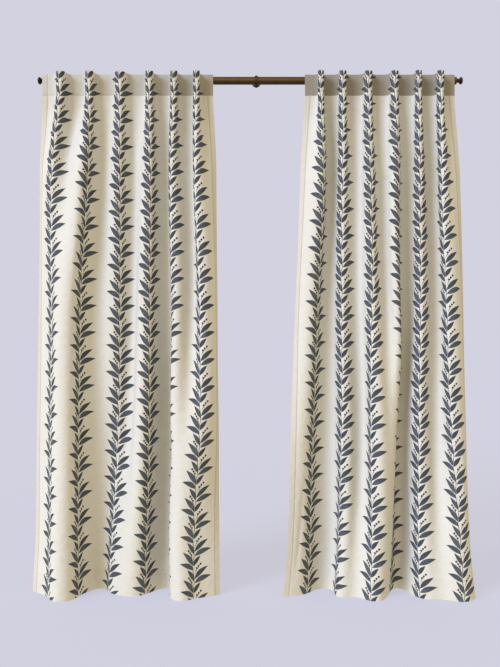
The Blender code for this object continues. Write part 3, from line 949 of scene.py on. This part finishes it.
def cut_places(drops):
    """UV places of a sheet's corners on the flat cloth."""
    cloth = bpy.context.scene.curtain_cloth
    right = np.linspace(0, 1, STEPS * FINER + 1)
    up = 1 - drops / cloth.drop
    return np.stack(np.meshgrid(right, up), axis=2)


def declare(piece, node):
    """Put a piece in the place of a node."""
    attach(piece, "root")
    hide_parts(node)


def hang_panel(side, rows):
    """The face cloth of one curtain."""
    cloth = bpy.context.scene.curtain_cloth
    drops = cloth_drops()
    lines = fold_lines(rows, drops)
    grid = hang(lines, drops, crease_lifts(side, drops))
    piece = new_sheet("curtain_" + side, grid, cut_places(drops), cloth.thickness,
                      printed_cloth(side), printed_cloth(side, back=True))
    declare(piece, "panel_" + side)


def sew_facing(side, rows):
    """The strip behind the heading."""
    cloth = bpy.context.scene.curtain_cloth
    back = PANEL_SOLID / 2 + SOLID_GAP + FACING_SOLID / 2
    drops = np.linspace(SOLID_GAP, cloth.facing_depth, FACING_ROWS)
    lines = fold_lines(rows, drops)
    piece = new_sheet("heading_facing_" + side, hang(lines, drops, np.full(lines.shape[:2], back)),
                      cut_places(drops), cloth.facing_thickness, plain_cloth())
    declare(piece, "facing_" + side)


class CURTAIN_OT_hang_panels(Operator):
    """Hang both printed panels with the facings behind their headings"""

    bl_idname = "curtain.hang_panels"
    bl_label = "Hang the panels"

    def execute(self, context):
        for side in SIDES:
            rows = settled_rows(side)
            hang_panel(side, rows)
            sew_facing(side, rows)
        return {"FINISHED"}


# The tabs, as in the solids, and how finely each is divided.
TAB_WRAP = math.radians(230)
TAB_LEG = 12 * MM
TAB_ARC_STEPS = 30
TAB_ROWS = 6


def tab_route(radius):
    """Side view of a tab: a leg on the facing, over the rod, and back to a second leg."""
    angles = np.linspace(0, TAB_WRAP, TAB_ARC_STEPS + 1)
    arc = np.column_stack([-np.cos(angles), np.sin(angles)]) * radius
    heading = np.array([math.sin(TAB_WRAP), math.cos(TAB_WRAP)])
    run = (arc[-1, 0] + radius) / -heading[0]
    foot = arc[-1] + heading * run
    leg = np.array([0, -TAB_LEG])
    slope = [arc[-1] + (foot - arc[-1]) * part for part in (0.25, 0.5, 0.75)]
    near = [foot - heading * 2 * MM, foot + leg / 6]
    return np.vstack([[arc[0] + leg], [arc[0] + leg / 2], arc, slope, near, [foot + leg]])


def sew_tab(side, number, centre, finish):
    """One tab, from the facing over the rod and back."""
    cloth = bpy.context.scene.curtain_cloth
    radius = ROD_AXIS.y - (TAB_LOW.y + TAB_SOLID / 2)
    route = tab_route(radius)
    width = TAB_HIGH.x - TAB_LOW.x
    ends = np.linspace(-width / 2, width / 2, TAB_ROWS + 1)
    grid = np.array([[(centre + end, ROD_AXIS.y + y, ROD_AXIS.z + z) for end in ends]
                     for y, z in route])
    walked = np.concatenate([[0], np.cumsum(np.linalg.norm(np.diff(route, axis=0), axis=1))])
    cuts = np.stack(np.meshgrid((ends + width / 2) / cloth.width, 1 - walked / cloth.drop), axis=2)
    piece = new_sheet("loop_{}_{}".format(side, number), grid, cuts, cloth.facing_thickness,
                      finish)
    declare(piece, "tab_{}_{}".format(side, number))


class CURTAIN_OT_sew_tabs(Operator):
    """Sew the back tabs that carry the headings on the rod"""

    bl_idname = "curtain.sew_tabs"
    bl_label = "Sew the tabs"

    def execute(self, context):
        finish = plain_cloth()
        for side in SIDES:
            for number, centre in enumerate(tab_centres(side), 1):
                sew_tab(side, number, centre, finish)
        return {"FINISHED"}


# Metal pieces

ALONG_X = (0.0, math.pi / 2, 0.0)
ALONG_MINUS_X = (0.0, -math.pi / 2, 0.0)
TO_THE_ROOM = (math.pi / 2, 0.0, 0.0)
UPRIGHT = (0.0, 0.0, 0.0)
UPSIDE_DOWN = (math.pi, 0.0, 0.0)


def close_ring(piece, along):
    """Close the ring of points at a height with a fan of faces. The piece is in edit mode."""
    bpy.ops.mesh.select_all(action="DESELECT")
    bpy.ops.object.mode_set(mode="OBJECT")
    for edge in piece.data.edges:
        ends = [piece.data.vertices[index].co.z for index in edge.vertices]
        edge.select = max(abs(end - along) for end in ends) < SAME_PLACE
    for point in piece.data.vertices:
        point.select = abs(point.co.z - along) < SAME_PLACE
    bpy.ops.object.mode_set(mode="EDIT")
    bpy.ops.mesh.edge_face_add()
    bpy.ops.mesh.poke()


def turn_piece(name, profile, sides, finish):
    """Turn a piece from (along, radius) pairs, by extruding a ring up Z and resizing it."""
    bpy.ops.object.select_all(action="DESELECT")
    first, first_radius = profile[0]
    bpy.ops.mesh.primitive_circle_add(vertices=sides, radius=first_radius)
    piece = bpy.context.object
    piece.name = name
    piece.data.name = name
    bpy.ops.object.mode_set(mode="EDIT")
    bpy.ops.mesh.select_all(action="SELECT")
    bpy.ops.transform.translate(value=(0, 0, first))
    for (last, last_radius), (along, radius) in zip(profile, profile[1:]):
        bpy.ops.mesh.extrude_region_move(
            TRANSFORM_OT_translate={"value": (0, 0, along - last)})
        share = radius / last_radius
        bpy.ops.transform.resize(value=(share, share, 1), center_override=(0, 0, along))
    close_ring(piece, profile[-1][0])
    close_ring(piece, first)
    bpy.ops.mesh.select_all(action="SELECT")
    bpy.ops.mesh.normals_make_consistent(inside=False)
    bpy.ops.object.mode_set(mode="OBJECT")
    piece.data.materials.append(finish)
    return piece


def place_piece(piece, place, turn=UPRIGHT, smooth=35):
    """Put a piece's place in its mesh, and shade it."""
    piece.location = place
    piece.rotation_euler = turn
    bpy.ops.object.select_all(action="DESELECT")
    piece.select_set(True)
    bpy.context.view_layer.objects.active = piece
    bpy.ops.object.transform_apply(location=True, rotation=True, scale=True)
    bpy.ops.object.shade_smooth_by_angle(angle=math.radians(smooth))
    piece.select_set(False)
    return piece


def fuse(piece, other, operation):
    """Join or cut a piece with another one, which is used up."""
    step = piece.modifiers.new("fuse", "BOOLEAN")
    step.operation = operation
    step.solver = "EXACT"
    step.object = other
    apply_modifiers(piece)
    bpy.data.objects.remove(other)


def make_rod(finish, sides):
    """The round rod, with eased ends."""
    length = ROD_HIGH.x - ROD_LOW.x
    ease = 1 * MM
    profile = [(0, ROD_RADIUS - ease), (0.3 * ease, ROD_RADIUS - 0.3 * ease), (ease, ROD_RADIUS)]
    profile += [(length - along, radius) for along, radius in reversed(profile)]
    piece = turn_piece("curtain_rod", profile, sides, finish)
    place_piece(piece, (ROD_LOW.x, ROD_AXIS.y, ROD_AXIS.z), ALONG_X)
    declare(piece, "rod")


FINIAL_SPOOL = ((0, 10.9), (0.6, 11.5), (3.0, 11.5), (3.5, 11.1), (5.0, 9.9), (7.5, 9.1),
                (10.0, 9.0), (12.3, 9.8))
FINIAL_KNOB = {"start": 13.0, "radius": 17.0, "length": 18.0, "fullness": 0.8, "rows": 20}


def make_finial(side, finish, sides):
    """A turned end: a collar, a waist and a small round knob."""
    knob = FINIAL_KNOB
    profile = [(along * MM, radius * MM) for along, radius in FINIAL_SPOOL]
    for row in range(4, knob["rows"]):
        angle = math.pi * row / knob["rows"]
        along = knob["start"] + knob["length"] / 2 * (1 - math.cos(angle))
        radius = knob["radius"] * math.sin(angle) ** knob["fullness"]
        profile.append((along * MM, radius * MM))
    piece = turn_piece("end_knob_" + side, profile, sides, finish)
    low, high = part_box("finial_" + side)
    at = low.x if side == "right" else high.x
    turn = ALONG_X if side == "right" else ALONG_MINUS_X
    place_piece(piece, (at, ROD_AXIS.y, ROD_AXIS.z), turn, 50)
    declare(piece, "finial_" + side)


# Sizes of a bracket and its thumb screw, in millimetres, as in the solids.
BRACKET = {"plate": 22.0, "plate_thick": 5.0, "arm": 4.5, "arm_above_rod": 9.0, "wall": 3.0,
           "width": 16.0, "play": 0.6, "button": 6.5, "button_rise": 3.0}
SCREW = {"start": 21.9, "neck": 3.6, "neck_length": 3.0, "knob": 6.0, "length": 11.0}


def bracket_middle(name):
    """Place of a bracket along the rod, from the frame."""
    low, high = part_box("bracket_" + name)
    return (low.x + high.x) / 2


def make_bracket(name, finish, sides):
    """A wall plate, an arm and the ring that the rod passes through, as one casting."""
    size = {key: value * MM for key, value in BRACKET.items()}
    across = bracket_middle(name)
    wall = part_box("bracket_" + name)[1].y
    plate, thick = size["plate"], size["plate_thick"]
    profile = [(0, plate), (thick * 0.45, plate), (thick * 0.8, plate - 1.2 * MM),
               (thick * 0.95, plate - 3 * MM), (thick, plate - 5 * MM)]
    piece = turn_piece("wall_bracket_" + name, profile, sides, finish)
    place_piece(piece, (across, wall, 0), TO_THE_ROOM)
    arm = turn_piece("arm", [(thick / 2, size["arm"]), (wall - ROD_AXIS.y, size["arm"])],
                     sides // 2, finish)
    place_piece(arm, (across, wall, ROD_AXIS.z + size["arm_above_rod"]), TO_THE_ROOM)
    fuse(piece, arm, "UNION")
    bore_radius = ROD_RADIUS + size["play"]
    outer = bore_radius + size["wall"]
    half = size["width"] / 2
    ease = 0.8 * MM
    ring = turn_piece("ring", [(-half, outer - ease), (ease - half, outer), (half - ease, outer),
                               (half, outer - ease)], sides, finish)
    place_piece(ring, (across, ROD_AXIS.y, ROD_AXIS.z), ALONG_X)
    fuse(piece, ring, "UNION")
    button = size["button"]
    top = outer + size["button_rise"]
    boss = turn_piece("boss", [(ROD_RADIUS + 1 * MM, button), (outer + 0.5 * MM, button),
                               (top - 1.2 * MM, button * 0.85), (top - 0.4 * MM, button * 0.6),
                               (top, button * 0.3)], sides // 2, finish)
    place_piece(boss, (across, ROD_AXIS.y, ROD_AXIS.z))
    fuse(piece, boss, "UNION")
    bore = turn_piece("bore", [(-2 * half, bore_radius), (2 * half, bore_radius)], sides, finish)
    place_piece(bore, (across, ROD_AXIS.y, ROD_AXIS.z), ALONG_X)
    fuse(piece, bore, "DIFFERENCE")
    place_piece(piece, (0, 0, 0))
    declare(piece, "bracket_" + name)


def make_screw(name, finish, sides):
    """The round-headed screw under the ring, with grooves round its head."""
    size = {key: value * MM for key, value in SCREW.items()}
    start, neck, knob = size["start"], size["neck"], size["knob"]
    head, end = start + size["neck_length"], start + size["length"]
    groove = 0.5 * MM
    profile = [(start, neck), (head, neck), (head + 0.2 * MM, knob - groove),
               (head + 0.8 * MM, knob)]
    grooves = 3
    run = (end - 2 * MM - head - 1 * MM) / grooves
    for number in range(grooves):
        foot = head + 1 * MM + number * run
        profile += [(foot + run * 0.3, knob - groove), (foot + run * 0.6, knob)]
    profile += [(end - 2 * MM, knob), (end - 0.8 * MM, knob * 0.86), (end, knob * 0.5)]
    piece = turn_piece("thumb_screw_" + name, profile, sides, finish)
    place_piece(piece, (bracket_middle(name), ROD_AXIS.y, ROD_AXIS.z), UPSIDE_DOWN, 40)
    declare(piece, "screw_" + name)


class CURTAIN_OT_make_rod(Operator):
    """Make the rod and the turned pieces on its ends"""

    bl_idname = "curtain.make_rod"
    bl_label = "Make the rod"

    def execute(self, context):
        metal = context.scene.curtain_metal
        make_rod(bronze_metal("bronze", metal.bronze, metal.worn_and_lit, 0.8), metal.round_sides)
        dark = bronze_metal("dark bronze", metal.dark, metal.bronze, 0.35)
        for side in SIDES:
            make_finial(side, dark, metal.round_sides)
        return {"FINISHED"}


class CURTAIN_OT_make_brackets(Operator):
    """Make the wall brackets and their thumb screws"""

    bl_idname = "curtain.make_brackets"
    bl_label = "Make the brackets"

    def execute(self, context):
        metal = context.scene.curtain_metal
        cast = bronze_metal("cast bronze", metal.bronze, metal.worn_and_lit, 0.5)
        dark = bronze_metal("screw bronze", metal.dark, metal.bronze, 0.35)
        for name in BRACKET_NAMES:
            make_bracket(name, cast, metal.round_sides)
            make_screw(name, dark, metal.round_sides // 2)
        return {"FINISHED"}


# Stage

def lay_floor(stage):
    """A plain pale floor under the hems, which looks like the backdrop where nothing shades it."""
    bpy.ops.object.select_all(action="DESELECT")
    bpy.ops.mesh.primitive_plane_add(size=FLOOR_SIZE, location=(0, 0, CLOTH_FOOT - FLOOR_GAP))
    floor = bpy.context.object
    floor.name = "floor"
    floor.visible_diffuse = False
    key = stage.key_strength * math.sin(math.radians(stage.key_height)) / math.pi
    glow = [back - pale * (key * lamp + sky) for back, pale, lamp, sky
            in zip(stage.backdrop, stage.floor, stage.key_colour, stage.sky)]
    finish = Finish("floor")
    finish.set(Base_Color=stage.floor, Roughness=1.0, Specular_IOR_Level=0.0,
               Emission_Color=glow, Emission_Strength=1.0)
    floor.data.materials.append(finish.material)


def set_sky(stage):
    """An even light from all around, and the plain backdrop that the camera sees."""
    world = bpy.data.worlds.new("studio")
    world.use_nodes = True
    nodes, links = world.node_tree.nodes, world.node_tree.links
    colour = nodes.new("ShaderNodeMix")
    colour.data_type = "RGBA"
    colour.inputs[6].default_value = (*stage.sky, 1)
    colour.inputs[7].default_value = (*stage.backdrop, 1)
    links.new(nodes.new("ShaderNodeLightPath").outputs["Is Camera Ray"], colour.inputs[0])
    links.new(colour.outputs[2], nodes["Background"].inputs["Color"])
    bpy.context.scene.world = world


def add_light(name, turn, height, strength, colour, softness):
    """A soft distant light. Turn is its angle to the left of the camera, in degrees."""
    lamp = bpy.data.lights.new(name, "SUN")
    lamp.energy = strength
    lamp.color = colour
    lamp.angle = math.radians(softness)
    light = bpy.data.objects.new(name, lamp)
    light.rotation_euler = (math.radians(90 - height), 0, -math.radians(turn))
    bpy.context.collection.objects.link(light)


def set_camera(stage):
    """A level camera in front of the curtains."""
    lens = bpy.data.cameras.new("camera")
    lens.sensor_fit = "VERTICAL"
    lens.sensor_height = 36
    lens.lens = stage.lens
    camera = bpy.data.objects.new("camera", lens)
    camera.location = (stage.across, heading_y() - stage.distance, stage.height)
    camera.rotation_euler = (math.pi / 2, 0, 0)
    bpy.context.collection.objects.link(camera)
    bpy.context.scene.camera = camera


class CURTAIN_OT_set_stage(Operator):
    """Set the camera, the lights and the floor"""

    bl_idname = "curtain.set_stage"
    bl_label = "Set the stage"

    def execute(self, context):
        stage = context.scene.curtain_stage
        context.scene.view_settings.view_transform = "Standard"
        set_camera(stage)
        set_sky(stage)
        add_light("key light", stage.key_turn, stage.key_height, stage.key_strength,
                  stage.key_colour, stage.key_softness)
        lay_floor(stage)
        return {"FINISHED"}


class CURTAIN_PT_sidebar(Panel):
    """Lists the steps of hanging the curtains"""

    bl_label = "Curtains"
    bl_space_type = "VIEW_3D"
    bl_region_type = "UI"
    bl_category = "Curtains"

    def draw(self, context):
        for step in STEPS_IN_ORDER:
            self.layout.operator(step.bl_idname)


STEPS_IN_ORDER = (CURTAIN_OT_set_stage, CURTAIN_OT_hang_panels, CURTAIN_OT_sew_tabs,
                  CURTAIN_OT_make_rod, CURTAIN_OT_make_brackets)
SETTINGS = {
    "curtain_cloth": CurtainClothSettings,
    "curtain_print": CurtainPrintSettings,
    "curtain_metal": CurtainRodSettings,
    "curtain_stage": CurtainStageSettings,
}


def register():
    for kind in (*SETTINGS.values(), *STEPS_IN_ORDER, CURTAIN_PT_sidebar):
        bpy.utils.register_class(kind)
    for name, kind in SETTINGS.items():
        setattr(bpy.types.Scene, name, PointerProperty(type=kind))


def unregister():
    for name in SETTINGS:
        delattr(bpy.types.Scene, name)
    for kind in (CURTAIN_PT_sidebar, *STEPS_IN_ORDER, *SETTINGS.values()):
        bpy.utils.unregister_class(kind)


def main():
    """Build the curtains' looks around the frame."""
    register()
    bpy.ops.curtain.set_stage()
    bpy.ops.curtain.hang_panels()
    bpy.ops.curtain.sew_tabs()
    bpy.ops.curtain.make_rod()
    bpy.ops.curtain.make_brackets()


if __name__ == "__main__":
    main()
